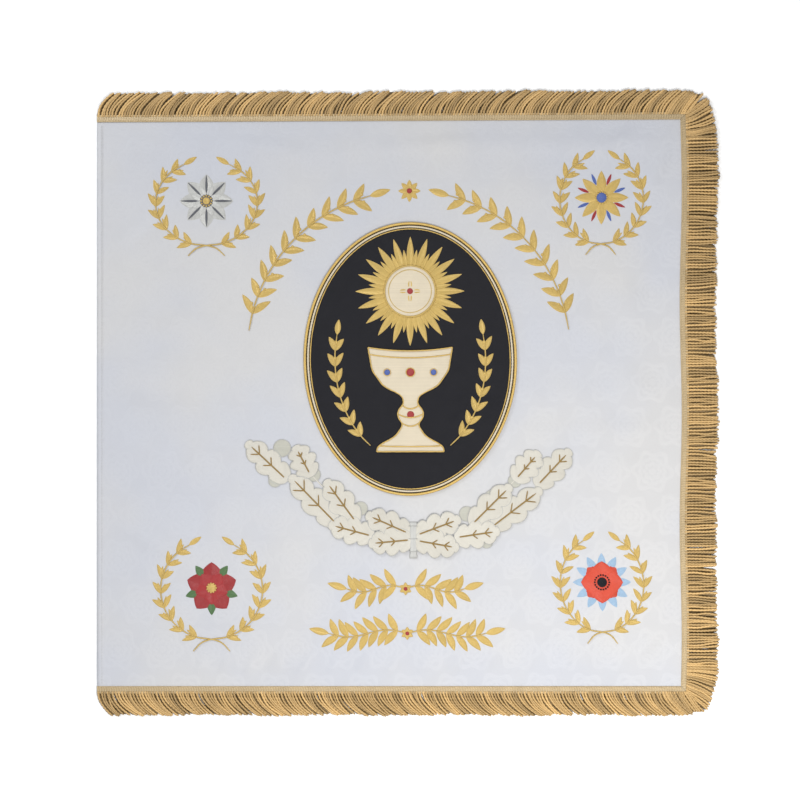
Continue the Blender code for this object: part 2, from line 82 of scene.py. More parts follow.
# Shallow puckers that the stitching draws up, with the same columns
PUCKERS = (
    (-0.33, -0.452, 72, 0.03, 0.012, 0.002),
    (-0.29, -0.448, 66, 0.032, 0.011, 0.0024),
    (-0.245, -0.452, 58, 0.032, 0.01, 0.0026),
    (-0.2, -0.447, 63, 0.034, 0.011, 0.0026),
    (-0.15, -0.45, 55, 0.034, 0.01, 0.0026),
    (-0.1, -0.452, 66, 0.032, 0.011, 0.0024),
    (-0.05, -0.45, 60, 0.034, 0.011, 0.0026),
    (0.0, -0.452, 54, 0.034, 0.011, 0.0026),
    (0.055, -0.452, 64, 0.032, 0.01, 0.0024),
    (0.11, -0.449, 57, 0.034, 0.011, 0.0026),
    (0.165, -0.452, 66, 0.03, 0.011, 0.0022),
    (0.23, -0.452, 60, 0.03, 0.011, 0.0018),
    (0.3, -0.44, 70, 0.034, 0.014, 0.0018),
    (0.44, -0.415, 40, 0.06, 0.018, 0.0024),
    (0.38, 0.448, 28, 0.08, 0.02, 0.003),
    (0.455, 0.4, 62, 0.06, 0.02, 0.0026),
    (-0.2, 0.44, -8, 0.12, 0.022, 0.0028),
    (0.06, 0.446, 6, 0.13, 0.02, 0.0026),
    (-0.42, 0.3, 40, 0.07, 0.022, 0.0024),
    (-0.425, -0.235, -30, 0.07, 0.022, 0.0022),
    (0.01, -0.178, 4, 0.08, 0.009, 0.0012),
)
# Long, low rolls across the whole cloth: v, half width, height, tilt along u
ROLLS = (
    (0.45, 0.034, 0.0034, 0.012),
    (0.02, 0.046, 0.003, -0.02),
    (-0.062, 0.038, 0.0026, 0.03),
)

# Fringe
HEADING_WIDTH = 0.013
HEADING_PROUD = 0.001
CORD_PITCH = 0.005
CORD_RADIUS = 0.0021
CORD_LOBES = 0.27  # how far the two plies stand out
CORD_LENGTH = 0.05
CORD_TURN = 0.0125  # length of one full turn of the two plies
UNDER_PITCH = 0.0058  # a second row of flatter cords lies under the first, painted dark as the shade between the cords above
UNDER_RADIUS = 0.0034
UNDER_FLAT = 0.26
CORD_SECTIONS = 34
CORD_SIDES = 8
CORD_UNEVEN = 0.05
FAN_WIDTH = 0.05
FAN_EXTRA = 12  # cords added at each fan
FLY_FAN = (0.6, 0.36)
LEANING_FAN = (-0.06, 0.1)
HOIST_EASE = 0.35
HOIST_REACH = 0.038
LEAN_REACH = 0.74
LEAN_SHIFT = 0.66
LOCK_PITCH = CLOTH_WIDTH / 80

# Embroidery, as in the solids
WREATH_LEAF = (0.025, 0.0085)
WREATH_SPREAD_DEG = 38
WREATH_STATIONS = 9
WREATH_GAP_DEG = 26
# Wreaths: name, u, v, half width, half height
WREATHS = (
    ("wreath_top_hoist", -0.321, 0.348, 0.088, 0.074),
    ("wreath_top_fly", 0.36, 0.351, 0.072, 0.077),
    ("wreath_bottom_hoist", -0.312, -0.321, 0.088, 0.086),
    ("wreath_bottom_fly", 0.362, -0.312, 0.072, 0.083),
)
# A branch's end past the crossing, in shares of the half sizes
WREATH_TAIL = ((0.36, -1.24), (0.2, -1.07))

GARLAND_CENTRE = (0.0366, -0.2357)
# Oak leaves, from the garland's centre: base u, base v, tip u, tip v
HOIST_LEAVES = (
    (-0.2236, 0.1088, -0.2806, 0.1623),
    (-0.1805, 0.1174, -0.1995, 0.1537),
    (-0.1373, 0.0328, -0.2064, 0.1036),
    (-0.1028, 0.0363, -0.1459, 0.095),
    (-0.0769, 0.0086, -0.1356, 0.0242),
    (-0.013, 0.0138, -0.0717, 0.0397),
    (-0.0095, 0.0, -0.0665, -0.0052),
)
FLY_LEAVES = (
    (0.2185, 0.0984, 0.2634, 0.1468),
    (0.1805, 0.1088, 0.2098, 0.1433),
    (0.1408, 0.0259, 0.2133, 0.0812),
    (0.1062, 0.0311, 0.1615, 0.0864),
    (0.0803, 0.0052, 0.139, 0.0138),
    (0.0112, 0.0104, 0.0717, 0.0328),
    (0.0112, -0.0017, 0.0682, -0.0121),
)
HOIST_BRANCHES = (
    ((-0.006, 0.004), (-0.077, 0.01), (-0.137, 0.033), (-0.224, 0.109)),
    ((-0.077, 0.01), (-0.103, 0.036), (-0.181, 0.118)),
)
FLY_BRANCHES = (
    ((0.006, 0.004), (0.08, 0.006), (0.141, 0.026), (0.219, 0.099)),
    ((0.08, 0.006), (0.106, 0.031), (0.181, 0.109)),
)
OAK_BEFORE_RIB = 0.009
OAK_PAST_RIB = 0.011
OAK_HALF_WIDTH = 0.0245
OAK_LOBE_LENGTH = 0.31  # share of a leaf's length
OAK_SWEEP = 0.3  # how far its lobes lean towards the tip
# Lobes that show behind the leaves: u, v, radius
HOIST_BACKS = (
    (-0.2269, 0.159, 0.015),
    (-0.1725, 0.1131, 0.012),
    (-0.2395, 0.1026, 0.011),
    (-0.0908, 0.0544, 0.012),
)
FLY_BACKS = (
    (0.0924, 0.0449, 0.013),
    (0.1356, 0.0742, 0.012),
    (0.1753, 0.1019, 0.012),
    (0.1269, -0.0035, 0.011),
)
TIE_SIZE = (0.015, 0.064)

MEDALLION_CENTRE = (0.031, 0.0768)
MEDALLION_HALF = (0.184, 0.236)
CHALICE_FOOT_V = -0.16
# The chalice from its foot up: height, half width
CHALICE_PROFILE = (
    (0.0, 0.058), (0.01, 0.057), (0.026, 0.026), (0.048, 0.012), (0.058, 0.022), (0.072, 0.022),
    (0.082, 0.011), (0.098, 0.015), (0.112, 0.046), (0.14, 0.066), (0.18, 0.073),
)
# The medallion's cords: inset from its edge, radius, material slot, length of a turn
BORDER_CORDS = (
    (-0.002, 0.0024, 1, 0.008),
    (-0.0075, 0.0017, 2, 0.0062),
    (-0.0115, 0.001, 1, 0.0042),
)
BORDER_POINTS = 700
HOST_V = 0.117
HOST_RADIUS = 0.044
GLORY_RADII = (0.094, 0.06)
GLORY_RAYS = 20
SHEAF_HALF = (0.13, 0.176)
SHEAF_START_DEG = 238
SHEAF_END_DEG = 166
SHEAF_STATIONS = 7
SHEAF_LEAF = (0.026, 0.0095)
SHEAF_SPREAD_DEG = 30

ARCH_CENTRE = (0.029, 0.088)
ARCH_RADIUS = 0.279
ARCH_START_DEG = 8
ARCH_END_DEG = 76
ARCH_STATIONS = 10
ARCH_LEAF = (0.036, 0.0125)
ARCH_SPREAD_DEG = 42
ARCH_STAR_RADII = (0.019, 0.008)
# Leaf bands: name, u, v, half length, stations
BANDS = (
    ("band_upper", 0.0228, -0.32, 0.102, 5),
    ("band_lower", 0.0254, -0.397, 0.136, 7),
)
BAND_LEAF = (0.034, 0.012)
BAND_SPREAD_DEG = 52
BAND_WAVE = 0.006
BAND_KNOT_RADIUS = 0.011

# Heights over the cloth
LEAF_RISE = 0.0014
STEM_RADIUS = 0.0012
FIRST_LAYER = 0.0003
SECOND_LAYER = 0.0015
EDGING = {"slot": 1, "sides": 7, "turn": 0.005, "lobes": 0.17}  # a thin cord round a piece

ROSETTE_CENTRE = (-0.321, 0.351)
STAR_CENTRE = (0.36, 0.354)
ROSE_CENTRE = (-0.312, -0.318)
POPPY_CENTRE = (0.362, -0.309)

# Soft studio lights: name, place, target, size, watts, colour
LIGHTS = (
    ("key", (-1.9, 1.5, 1.5), (-0.3, 0.0, 0), 0.8, 32, (0.96, 0.98, 1.0)),
    ("fill", (0.45, -0.75, 1.6), (0.45, -0.75, 0), 1.2, 28.5, (1.0, 0.98, 0.94)),
)
WORLD_COLOUR = (0.975, 0.99, 1.02, 1)
WORLD_STRENGTH = 0.57
FLOOR_HALF = 30


def swell_height(u, v):
    """Height of the cloth's underside over the surface."""
    total = np.zeros(np.broadcast(u, v).shape)
    for swell_u, swell_v, turn_deg, half_length, half_width, height in SWELLS + PUCKERS:
        turn = math.radians(turn_deg)
        du, dv = u - swell_u, v - swell_v
        along = (du * math.cos(turn) + dv * math.sin(turn)) / half_length
        across = (dv * math.cos(turn) - du * math.sin(turn)) / half_width
        reach = np.minimum(np.hypot(along, across), 1)
        total = total + height * np.cos(reach * math.pi / 2) ** 2
    to_edge = np.minimum(np.minimum(u - LEFT, RIGHT - u), np.minimum(v - BOTTOM, TOP - v))
    free = np.clip((to_edge - 0.016) / 0.05, 0, 1)
    for roll_v, half_width, height, slope in ROLLS:
        reach = np.minimum(np.abs(v - roll_v - slope * u) / half_width, 1)
        swing = 0.75 + 0.25 * np.sin(u * 9 + roll_v * 40)
        total = total + free * swing * height * np.cos(reach * math.pi / 2) ** 2
    return total


def lay(points, on_cloth=True):
    """Where points of the flat cut, as rows of (u, v, height), lie in the laid-out banner."""
    u, v, height = points[:, 0], points[:, 1], points[:, 2]
    across = (u - LEFT) / CLOTH_WIDTH
    up = (v - BOTTOM) / CLOTH_HEIGHT
    x = u + FLY_WANDER * across**2 * np.sin(FLY_WAVES * math.tau * up)
    y = v + TOP_RISE * up * (across - 0.5)
    z = height + (CLOTH_THICKNESS + swell_height(u, v) if on_cloth else 0)
    return stack(x + SHIFT[0], y + SHIFT[1], z)


def stack(*parts):
    return np.stack(parts, axis=-1)


def add(name, data):
    obj = bpy.data.objects.new(name, data)
    bpy.context.scene.collection.objects.link(obj)
    return obj


class Pile:
    """Gathers grids of points into one mesh, with the run of its threads as a UV map."""

    def __init__(self):
        self.points, self.threads, self.tones = [], [], []
        self.faces, self.slots = [], []
        self.count = 0

    def grid(self, points, threads, tone=0.5, slot=0, wrap=False):
        """Adds a grid of (u, v, height) points, of shape (rows, columns, 3), as quads.

        The tone, one number or one for each point, lightens or darkens the thread."""
        rows, columns = points.shape[:2]
        index = np.arange(rows * columns).reshape(rows, columns) + self.count
        ahead = np.roll(index, -1, axis=1) if wrap else index[:, 1:]
        here = index if wrap else index[:, :-1]
        quads = stack(here[:-1], ahead[:-1], ahead[1:], here[1:]).reshape(-1, 4)
        if not wrap:
            middle = points[rows // 2, columns // 2]
            run = points[min(rows // 2 + 1, rows - 1), columns // 2] - middle
            side = points[rows // 2, min(columns // 2 + 1, columns - 1)] - middle
            if side[0] * run[1] - side[1] * run[0] < 0:
                quads = quads[:, ::-1]
        self.points.append(points.reshape(-1, 3))
        self.threads.append(threads.reshape(-1, 2))
        self.tones.append(np.broadcast_to(np.asarray(tone, float), (rows, columns)).ravel())
        self.faces.append(quads)
        self.slots.append(np.full(len(quads), slot))
        self.count += rows * columns

    def mirror(self, middle):
        """Turns the whole pile over, from left to right about u = middle."""
        for points in self.points:
            points[:, 0] = 2 * middle - points[:, 0]
        self.faces = [face[:, ::-1] for face in self.faces]

    def build(self, name, materials, on_cloth=True):
        """Lays the pile out and makes its object."""
        points = lay(np.concatenate(self.points), on_cloth)
        faces = np.concatenate(self.faces)
        mesh = bpy.data.meshes.new(name)
        mesh.from_pydata(points.tolist(), [], faces.tolist())
        for material in materials:
            mesh.materials.append(material)
        mesh.polygons.foreach_set("material_index", np.concatenate(self.slots).astype(np.int32))
        mesh.polygons.foreach_set("use_smooth", np.ones(len(faces), bool))
        threads = np.concatenate(self.threads)
        layer = mesh.uv_layers.new(name="thread")
        layer.uv.foreach_set("vector", threads[faces.ravel()].astype(np.float32).ravel())
        tones = mesh.attributes.new("tone", "FLOAT", "POINT")
        tones.data.foreach_set("value", np.concatenate(self.tones).astype(np.float32))
        mesh.validate()
        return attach(add(name, mesh), "root")


def turned(x, y, base, angle):
    cosine, sine = math.cos(angle), math.sin(angle)
    return base[0] + x * cosine - y * sine, base[1] + x * sine + y * cosine


def dome(share):
    return np.sqrt(np.maximum(0, 1 - share**2))


def polar(centre, reach, angle):
    return centre[0] + reach * math.cos(angle), centre[1] + reach * math.sin(angle)


def smooth_line(points, count):
    """A smooth curve through a few points, as count points."""
    points = np.asarray(points, float)
    run = np.concatenate([[0], np.cumsum(np.linalg.norm(np.diff(points, axis=0), axis=1))])
    padded = np.vstack([2 * points[0] - points[1], points, 2 * points[-1] - points[-2]])
    line = []
    for at in np.linspace(0, run[-1], count):
        i = min(np.searchsorted(run, at, side="right") - 1, len(points) - 2)
        t = (at - run[i]) / (run[i + 1] - run[i])
        a, b, c, d = padded[i : i + 4]
        line.append(
            0.5 * (2 * b + (c - a) * t + (2 * a - 5 * b + 4 * c - d) * t**2 + (3 * b - a - 3 * c + d) * t**3)
        )
    return np.array(line)


def tube(pile, line, radius, height, tone=0.5, slot=0, sides=8, turn=0.006, lobes=0.0, flat=1.0):
    """A cord along a line on the cloth. Lobes above zero show its two twisted plies."""
    line = np.asarray(line, float)
    radii = np.broadcast_to(np.asarray(radius, float), len(line))
    ahead = np.gradient(line[:, :2], axis=0)
    ahead /= np.linalg.norm(ahead, axis=1, keepdims=True)
    across = stack(-ahead[:, 1], ahead[:, 0])
    run = np.concatenate([[0], np.cumsum(np.linalg.norm(np.diff(line[:, :2], axis=0), axis=1))])
    turns = np.linspace(0, math.tau, sides, endpoint=False)
    twist = math.tau * run / turn
    swing = 1 + lobes * np.cos(2 * (turns[None, :] - twist[:, None]))
    reach = radii[:, None] * swing
    heights = line[:, 2] if line.shape[1] == 3 else np.full(len(line), height)
    out = reach * np.cos(turns)
    points = np.empty((len(line), sides, 3))
    points[..., 0] = line[:, None, 0] + across[:, None, 0] * out
    points[..., 1] = line[:, None, 1] + across[:, None, 1] * out
    points[..., 2] = heights[:, None] + flat * reach * np.sin(turns)
    threads = np.empty((len(line), sides, 2))
    threads[..., 0] = turns[None, :] / math.tau
    threads[..., 1] = run[:, None]
    # Painted highlight and shade: each cord's top is lightened and its sides and underside darkened, as
    # light from above falls on it.
    crown = 0.5 * np.maximum(0, np.sin(turns)) ** 2 - 0.25
    tones = (tone + crown[None, :] * np.ones((len(line), 1)))[:, ::-1]
    pile.grid(points[:, ::-1], threads[:, ::-1], tones, slot, wrap=True)


def tapered(radius, count, start=0.35, end=0.35):
    share = np.linspace(0, 1, count)
    ends = np.minimum(1, np.minimum(start + share * 8, end + (1 - share) * 8))
    return radius * ends


def satin_leaf(pile, base, angle, size, tone=0.5, slot=0, height=FIRST_LAYER, rise=LEAF_RISE, bend=0.0):
    """A leaf in two slanted rows of satin stitch that meet in a groove."""
    length, width = size
    s = np.linspace(0, 1, 15)[:, None]
    t = np.linspace(-1, 1, 9)[None, :]
    half = width / 2 * np.sin(math.pi * np.clip(s, 0.015, 1) ** 0.85) ** 0.8 + 0.0004
    x = s * length + 0 * t
    y = t * half + bend * width * 4 * s * (1 - s)
    crown = dome(t) * (0.45 + 0.55 * np.sin(math.pi * s))
    groove = 0.45 * np.exp(-((t / 0.2) ** 2)) * np.sin(math.pi * s)
    u, v = turned(x, y, base, angle)
    points = stack(u, v, height - 0.0004 + rise * (crown - groove))
    threads = stack(y, x - 0.8 * np.abs(t * half))
    pile.grid(points, threads, tone, slot)


def disc(pile, centre, radius, height, rise, tone=0.5, slot=0, rings=7, sides=28):
    """A domed round, stitched across."""
    share = np.linspace(0.02, 1, rings)[:, None]
    turns = np.linspace(0, math.tau, sides, endpoint=False)[None, :]
    x = share * radius * np.cos(turns)
    y = share * radius * np.sin(turns)
    z = height + rise * dome(share) + 0 * turns
    points = stack(centre[0] + x, centre[1] + y, z)
    pile.grid(points, stack(x, y), tone, slot, wrap=True)


def ring_line(centre, radius_u, radius_v, count, start_deg=0, end_deg=360):
    turns = np.radians(np.linspace(start_deg, end_deg, count))
    return stack(centre[0] + radius_u * np.cos(turns), centre[1] + radius_v * np.sin(turns))


def mirror_grid(pile, start, middle):
    """Adds a copy of the grids from index start on, mirrored about u = middle."""
    for k in range(start, len(pile.points)):
        points = pile.points[k].copy()
        points[:, 0] = 2 * middle - points[:, 0]
        shift = pile.count - int(pile.faces[k].min())
        pile.faces.append((pile.faces[k] + shift)[:, ::-1])
        pile.points.append(points)
        pile.threads.append(pile.threads[k])
        pile.tones.append(pile.tones[k])
        pile.slots.append(pile.slots[k])
        pile.count += len(points)


# Materials


class Shader:
    """A material and short calls for its nodes."""

    def __init__(self, name):
        self.material = bpy.data.materials.new(name)
        self.material.use_nodes = True
        self.tree = self.material.node_tree
        self.surface = self.tree.nodes["Principled BSDF"]

    def new(self, kind):
        return self.tree.nodes.new("ShaderNode" + kind)

    def put(self, socket, value):
        if isinstance(value, bpy.types.NodeSocket):
            self.tree.links.new(value, socket)
        else:
            socket.default_value = value

    def node(self, kind, *values, out=0, **settings):
        node = self.new(kind)
        for key, value in settings.items():
            setattr(node, key, value)
        for socket, value in zip(node.inputs, values):
            if value is not None:
                self.put(socket, value)
        return node.outputs[out]

    def math(self, operation, a, b=None, c=None, clamp=False):
        return self.node("Math", a, b, c, operation=operation, use_clamp=clamp)

    def madd(self, a, b, c, clamp=False):
        return self.math("MULTIPLY_ADD", a, b, c, clamp)

    def times(self, a, b):
        return self.math("MULTIPLY", a, b)

    def step(self, value, low, high):
        """0 below low, 1 above high, smooth between them."""
        node = self.new("MapRange")
        node.interpolation_type = "SMOOTHSTEP"
        for key, setting in (("Value", value), ("From Min", low), ("From Max", high)):
            self.put(node.inputs[key], setting)
        return node.outputs[0]

    def noise(self, vector, scale, detail=3.0):
        node = self.new("TexNoise")
        self.put(node.inputs["Vector"], vector)
        node.inputs["Scale"].default_value = scale
        node.inputs["Detail"].default_value = detail
        return node.outputs[0]

    def mix(self, share, a, b):
        node = self.new("Mix")
        node.data_type = "RGBA"
        self.put(node.inputs[0], share)
        self.put(node.inputs[6], a)
        self.put(node.inputs[7], b)
        return node.outputs[2]

    def split(self, vector):
        """The three parts of a vector."""
        node = self.new("SeparateXYZ")
        self.put(node.inputs[0], vector)
        return node.outputs

    def thread(self):
        """The UV map: along and across a stitch, or round and along a cord."""
        uv = self.new("UVMap")
        uv.uv_map = "thread"
        return self.split(uv.outputs[0])

    def ridge(self, run):
        """0 between two threads, 1 on their crowns."""
        return self.math("ABSOLUTE", self.math("SINE", run))

    def bump(self, height, distance, strength=1.0):
        node = self.new("Bump")
        node.inputs["Strength"].default_value = strength
        node.inputs["Distance"].default_value = distance
        self.put(node.inputs["Height"], height)
        self.put(self.surface.inputs["Normal"], node.outputs[0])

    def finish(self, colour, roughness, **constants):
        self.put(self.surface.inputs["Base Color"], colour)
        self.put(self.surface.inputs["Roughness"], roughness)
        for key, value in constants.items():
            self.surface.inputs[key.replace("_", " ")].default_value = value
        return self.material


def shade(colour, share):
    return (*(min(1.0, c * share) for c in colour), 1)


def thread_material(name, colour, pitch=0.0011, metallic=0.0, roughness=0.42, dark=0.72, shine=0.5):
    """Embroidery thread that runs along the UV map's first axis."""
    s = Shader(name)
    thread = s.thread()
    place = s.node("TexCoord", out=3)
    wobble = s.times(s.noise(place, 260.0, 1.0), 0.0005)
    across = s.math("ADD", thread[1], wobble)
    ridge = s.ridge(s.times(across, math.pi / pitch))
    strand = s.math("FLOOR", s.times(across, 1 / pitch))
    chance = s.node("TexWhiteNoise", None, strand, noise_dimensions="1D")
    tone = s.node("Attribute", out=2, attribute_name="tone")
    blotch = s.noise(place, 45.0, 3.0)
    light = s.madd(tone, 0.45, s.times(blotch, 0.4))
    light = s.madd(chance, 0.22, light)
    # Painted shade and highlight: the colour darkens in the grooves between threads and lightens on their
    # crowns.
    light = s.madd(ridge, 0.16, s.math("SUBTRACT", light, 0.14), clamp=True)
    base = s.mix(light, shade(colour, dark), shade(colour, 1.14))
    rough = s.madd(chance, 0.16, roughness - 0.06)
    s.bump(ridge, 0.00025)
    return s.finish(base, rough, Metallic=metallic, Sheen_Weight=0.3 * shine, Specular_IOR_Level=shine)


def cord_material(name, colour, metallic=0.35, plies=3.0, pitch=0.0022, dark=0.34, bright=1.45):
    """Gold wound cord: the wrap shows as fine slanted ridges round it."""
    s = Shader(name)
    thread = s.thread()
    place = s.node("TexCoord", out=3)
    slant = s.madd(thread[1], 1 / pitch, s.times(thread[0], plies))
    ridge = s.ridge(s.times(slant, math.pi))
    tone = s.node("Attribute", out=2, attribute_name="tone")
    blotch = s.noise(place, 30.0, 4.0)
    light = s.madd(tone, 0.85, s.madd(blotch, 0.4, -0.2))
    # Painted shade and highlight: the colour darkens in the grooves between wraps and lightens on their
    # crowns.
    light = s.madd(ridge, 0.16, light, clamp=True)
    base = s.mix(light, shade(colour, dark), shade(colour, bright))
    rough = s.madd(blotch, 0.25, 0.3)
    s.bump(ridge, 0.0003)
    return s.finish(base, rough, Metallic=metallic, Specular_IOR_Level=0.5)


def damask_material():
    """White silk damask: closely set ring medallions and florets woven tone on tone."""
    cell = 0.077
    s = Shader("damask")
    place = s.node("TexCoord", out=3)
    drift = s.new("VectorMath")
    drift.operation = "MULTIPLY_ADD"
    cloud = s.new("TexNoise")
    cloud.inputs["Scale"].default_value = 9.0
    s.put(cloud.inputs["Vector"], place)
    s.put(drift.inputs[0], cloud.outputs[1])
    drift.inputs[1].default_value = (0.004, 0.004, 0)
    s.put(drift.inputs[2], place)
    parts = s.split(drift.outputs[0])
    x = s.times(parts[0], 1 / cell)
    y = s.times(parts[1], 1 / cell)
    row = s.math("MODULO", s.math("ADD", s.math("FLOOR", y), 40.0), 2.0)
    x = s.madd(row, 0.5, x)
    cx = s.math("SUBTRACT", s.math("FRACT", s.math("ADD", x, 40.0)), 0.5)
    cy = s.math("SUBTRACT", s.math("FRACT", s.math("ADD", y, 40.0)), 0.5)
    radius = s.math("SQRT", s.madd(cx, cx, s.times(cy, cy)))
    angle = s.math("ARCTAN2", cy, cx)

    def band(at, half, waves, swing, phase=0.0):
        wave = s.math("COSINE", s.madd(angle, waves, phase))
        middle = s.madd(wave, swing, at)
        off = s.math("ABSOLUTE", s.math("SUBTRACT", radius, middle))
        return s.step(off, half + 0.03, half - 0.02)

    heart = s.step(radius, 0.1, 0.05)
    petals = band(0.165, 0.032, 8.0, 0.02)
    ring = band(0.28, 0.026, 14.0, 0.012)
    scroll = band(0.4, 0.04, 6.0, 0.055, 0.6)
    figure = s.math("MAXIMUM", s.math("MAXIMUM", heart, petals), s.math("MAXIMUM", ring, scroll))
    ribs = s.math("SINE", s.times(parts[1], math.tau / 0.0011))
    diagonal = s.math("ADD", parts[0], parts[1])
    twill = s.math("SINE", s.times(diagonal, math.tau / 0.0013))
    plain = s.times(ribs, s.math("SUBTRACT", 1.0, figure))
    weave = s.math("ADD", plain, s.times(twill, figure))
    slub = s.noise(place, 14.0, 5.0)
    # Painted light and shade: a large soft mottle of cooler and warmer white stands in for light falling on
    # the cloth's soft folds.
    soft = s.step(s.noise(place, 3.2, 3.0), 0.34, 0.66)
    light = s.madd(figure, 0.34, s.times(slub, 0.5), clamp=True)
    cool = s.mix(light, (0.462, 0.475, 0.52, 1), (0.506, 0.52, 0.564, 1))
    warm = s.mix(light, (0.5, 0.498, 0.504, 1), (0.548, 0.545, 0.548, 1))
    base = s.mix(soft, cool, warm)
    rough = s.madd(figure, -0.12, 0.56)
    height = s.madd(figure, 0.5, s.times(weave, 0.25))
    s.bump(height, 0.00026)
    return s.finish(base, rough, Sheen_Weight=0.12, Specular_IOR_Level=0.4)


def floor_material():
    s = Shader("floor")
    place = s.node("TexCoord", out=3)
    grain = s.noise(place, 40.0, 2.0)
    base = s.mix(grain, (0.95, 0.95, 0.95, 1), (0.97, 0.97, 0.97, 1))
    return s.finish(base, 0.9, Specular_IOR_Level=0.1)


GOLD = thread_material("gold_thread", (0.575, 0.4, 0.115), metallic=0.2, roughness=0.38)
SILVER = thread_material("silver_thread", (0.52, 0.52, 0.5), metallic=0.15, roughness=0.36)
WHITE = thread_material("white_thread", (0.585, 0.56, 0.495), roughness=0.46, dark=0.88)
TURNED = thread_material("turned_thread", (0.45, 0.445, 0.385), roughness=0.46, dark=0.86)
BLACK = thread_material("black_satin", (0.015, 0.015, 0.019), roughness=0.5, dark=0.6, shine=0.12)
CREAM = thread_material("cream_thread", (0.64, 0.56, 0.42), roughness=0.46, dark=0.8)
RED = thread_material("red_thread", (0.32, 0.02, 0.022), roughness=0.44)
SCARLET = thread_material("scarlet_thread", (0.58, 0.055, 0.022), roughness=0.44)
BLUE = thread_material("blue_thread", (0.06, 0.11, 0.36), roughness=0.44)
SKY = thread_material("sky_thread", (0.3, 0.44, 0.6), roughness=0.46)
GREEN = thread_material("green_thread", (0.07, 0.15, 0.05), roughness=0.46)
BROWN = thread_material("vein_thread", (0.3, 0.19, 0.05), metallic=0.15, roughness=0.44)
GREY = thread_material("outline_thread", (0.46, 0.46, 0.44), roughness=0.48)
SLATE = thread_material("slate_thread", (0.1, 0.105, 0.12), roughness=0.48)
FRINGE = cord_material("gold_fringe", (0.445, 0.29, 0.118), metallic=0.15, dark=0.26, bright=1.55)
HEADING = cord_material("gold_heading", (0.455, 0.345, 0.195), metallic=0.15, dark=0.5, bright=1.3)
GOLD_CORD = cord_material("gold_cord", (0.56, 0.38, 0.11), metallic=0.35, dark=0.5, bright=1.3)
DAMASK = damask_material()


# Cloth


def cloth():
    """The damask: a fine grid over and under, closed round its edge."""
    columns = int(CLOTH_WIDTH / CLOTH_STEP) + 1
    rows = int(CLOTH_HEIGHT / CLOTH_STEP) + 1
    u = np.linspace(LEFT, RIGHT, columns)
    hem = LEFT + HEM_WIDTH
    u = np.sort(np.concatenate([u, [hem, hem + 0.0008]]))
    v = np.linspace(BOTTOM, TOP, rows)
    grid_u, grid_v = np.meshgrid(u, v)
    turned_over = (grid_u <= hem + 1e-6) & (np.abs(grid_v) < TOP - HEADING_WIDTH - CLOTH_STEP)
    top = stack(grid_u, grid_v, np.where(turned_over, HEM_RISE, 0)).reshape(-1, 3)
    under = stack(grid_u, grid_v, np.full(grid_u.shape, -CLOTH_THICKNESS)).reshape(-1, 3)
    points = lay(np.concatenate([top, under]))
    count = len(u)
    index = np.arange(len(top)).reshape(len(v), count)
    quads = stack(index[:-1, :-1], index[:-1, 1:], index[1:, 1:], index[1:, :-1]).reshape(-1, 4)
    rim = np.concatenate([index[0, :-1], index[:-1, -1], index[-1, :0:-1], index[:0:-1, 0]])
    ahead = np.roll(rim, -1)
    wall = stack(rim, rim + len(top), ahead + len(top), ahead)
    faces = np.concatenate([quads, quads[:, ::-1] + len(top), wall])
    mesh = bpy.data.meshes.new("banner_cloth")
    mesh.from_pydata(points.tolist(), [], faces.tolist())
    mesh.polygons.foreach_set("use_smooth", np.ones(len(faces), bool))
    mesh.materials.append(DAMASK)
    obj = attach(add("banner_cloth", mesh), "root")
    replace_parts(obj, "cloth")
    return obj


def hem_stitches():
    """A row of small slanted stitches that holds the hoist hem."""
    pile = Pile()
    for v in np.arange(BOTTOM + 0.018, TOP - 0.018, 0.0052):
        u = LEFT + HEM_WIDTH - 0.0016
        line = np.array([[u - 0.0009, v - 0.0012], [u, v], [u + 0.0009, v + 0.0012]])
        tube(pile, line, tapered(0.00032, 3), HEM_RISE + 0.0002, sides=5)
    obj = pile.build("hem_stitches", [GREY])
    return obj


# Fringe


def lock_path(share, reach, shift, curl):
    return shift * share**curl, reach * (share - 0.12 * share**2) / 0.88


def cord_manners(at, length, leaning, chance):
    """Reach out, shift sideways and curl of the cord whose root is at a distance along its edge."""
    i = at / LOCK_PITCH
    slow = math.sin(i * 0.37) + 0.6 * math.sin(i * 0.91 + 1.3)
    clump = math.sin(i * 2.3 + 1.5 * math.sin(i * 0.7))
    size = CORD_LENGTH * (1 + CORD_UNEVEN * (0.45 * slow + 0.4 * clump + chance.uniform(-0.5, 0.5)))
    from_end = length - at if leaning else min(at, length - at)
    spread = max(0.0, FAN_WIDTH - from_end) / FAN_WIDTH
    loose = 1.0 if leaning else 0.5
    wander = loose * (0.06 * clump * (1 - 0.6 * spread) + chance.uniform(-0.06, 0.06))
    curl = 1 + 0.7 * (1 - spread)
    if leaning:
        swing, draw_in = LEANING_FAN
        straight = HOIST_EASE * max(0.0, 1 - at / HOIST_REACH)
        shift = (LEAN_SHIFT * (1 + 0.07 * slow) + swing * spread) * (1 - straight) + wander
        return size * (LEAN_REACH - draw_in * spread), size * shift, curl + straight
    swing, draw_in = FLY_FAN
    towards_corner = 1 if at > length / 2 else -1
    shift = swing * spread * towards_corner + wander + 0.03 * slow
    return size * (1 - draw_in * spread**2), size * shift, curl


def fringe_roots(length, pitch, leaning, chance):
    """Where the cords leave the edge: evenly, but for the small clumps and the fuller fans."""
    count = int(length / pitch)
    roots = [(k + 0.5) * length / count for k in range(count)]
    fans = [length] if leaning else [0, length]
    for corner in fans:
        inward = -1 if corner else 1
        roots += [corner + inward * FAN_WIDTH * (k + 0.3) / FAN_EXTRA for k in range(FAN_EXTRA)]
    return [
        at + 0.001 * math.sin(at / LOCK_PITCH * 2.3) + chance.uniform(-0.0005, 0.0005)
        for at in sorted(roots)
    ]


